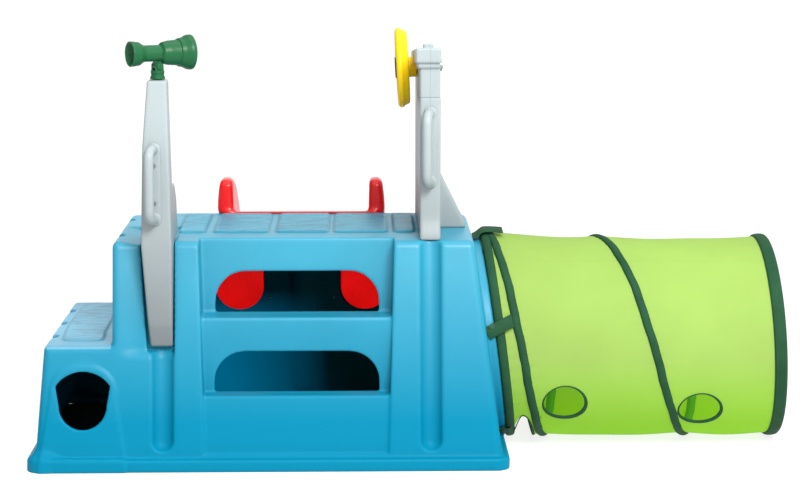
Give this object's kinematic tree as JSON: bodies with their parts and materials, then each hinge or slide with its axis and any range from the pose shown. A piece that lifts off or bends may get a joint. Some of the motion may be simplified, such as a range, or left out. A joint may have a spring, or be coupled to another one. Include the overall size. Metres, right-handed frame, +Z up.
{
  "type": "toddler climbing gym",
  "caption": "Moulded toddler climbing gym: hollow base with ladder front and side step, grip towers, steering wheel, telescope, slide and pop-up cloth crawl tunnel",
  "frame": {"origin": "on the floor, under the middle of the moulded base's footprint", "axes": "+X towards the tunnel, +Y towards the slide (the ladder faces -Y), +Z up"},
  "size_m": [1.6596, 1.525, 0.9287],
  "materials": {
    "base_blue": "rotomoulded polyethylene, soft sheen",
    "tower_grey": "moulded plastic, light grey, soft sheen",
    "slide_red": "moulded plastic, smooth sheen",
    "wheel_yellow": "moulded plastic, smooth",
    "cap_grey": "moulded plastic, dark grey",
    "scope_green": "moulded plastic, dark green",
    "lens": "clear window",
    "tunnel_lime": "woven polyester, thin",
    "trim_green": "woven binding tape",
    "stud_green": "press stud, plastic",
    "steel": "plain steel"
  },
  "bodies": {
    "base": {"base_shell": "base_blue", "post_outer": "tower_grey", "post_inner": "tower_grey", "post_grip": "tower_grey", "post_grip_screws": "steel", "post_seam_screws": "steel", "post_screws": "steel", "helm_inner": "tower_grey", "helm_outer": "tower_grey", "helm_head": "tower_grey", "helm_grip": "tower_grey", "helm_grip_screws": "steel", "helm_seam_screws": "steel", "helm_screws": "steel", "slide": "slide_red", "slide_screws": "steel", "wheel_axle": "steel", "axle_nut": "steel", "scope_collar": "scope_green", "tunnel_skirt": "tunnel_lime", "tunnel_cloth": "tunnel_lime", "tunnel_sleeve": "trim_green", "tunnel_wire": "steel", "hem_band": "trim_green", "hem_hoop": "steel", "peephole_rings": "trim_green", "strap_top": "trim_green", "strap_front": "trim_green", "strap_rear": "trim_green", "strap_low_front": "trim_green", "strap_low_rear": "trim_green", "strap_studs": "stud_green"},
    "wheel": {"steering_wheel": "wheel_yellow", "wheel_cap": "cap_grey"},
    "yoke": {"scope_yoke": "scope_green", "scope_pin": "scope_green"},
    "scope": {"scope_barrel": "scope_green", "scope_eyecup": "scope_green", "scope_hood": "scope_green", "eye_lens": "lens", "front_lens": "lens"},
    "tunnel_end": {"end_band": "trim_green", "end_hoop": "steel"}
  },
  "joints": [
    {"name": "wheel_spin", "type": "hinge", "parent": "base", "child": "wheel", "pos_m": [0.292, 0, 0.84], "axis": [-0.9986, 0, -0.0523], "continuous": true},
    {"name": "scope_swivel", "type": "hinge", "parent": "base", "child": "yoke", "pos_m": [-0.232, -0.237, 0.846], "axis": [0, 0, 1], "continuous": true},
    {"name": "scope_tilt", "type": "hinge", "parent": "yoke", "child": "scope", "pos_m": [-0.232, -0.237, 0.862], "axis": [-0.4695, 0.8829, 0], "range_deg": [-25, 15]},
    {"name": "tunnel_collapse", "type": "slide", "parent": "base", "child": "tunnel_end", "axis": [-1, 0, 0], "range_m": [0, 0.468], "stiffness_N_per_m": 20, "deforming": ["tunnel_cloth", "tunnel_sleeve", "tunnel_wire", "peephole_rings"]}
  ]
}
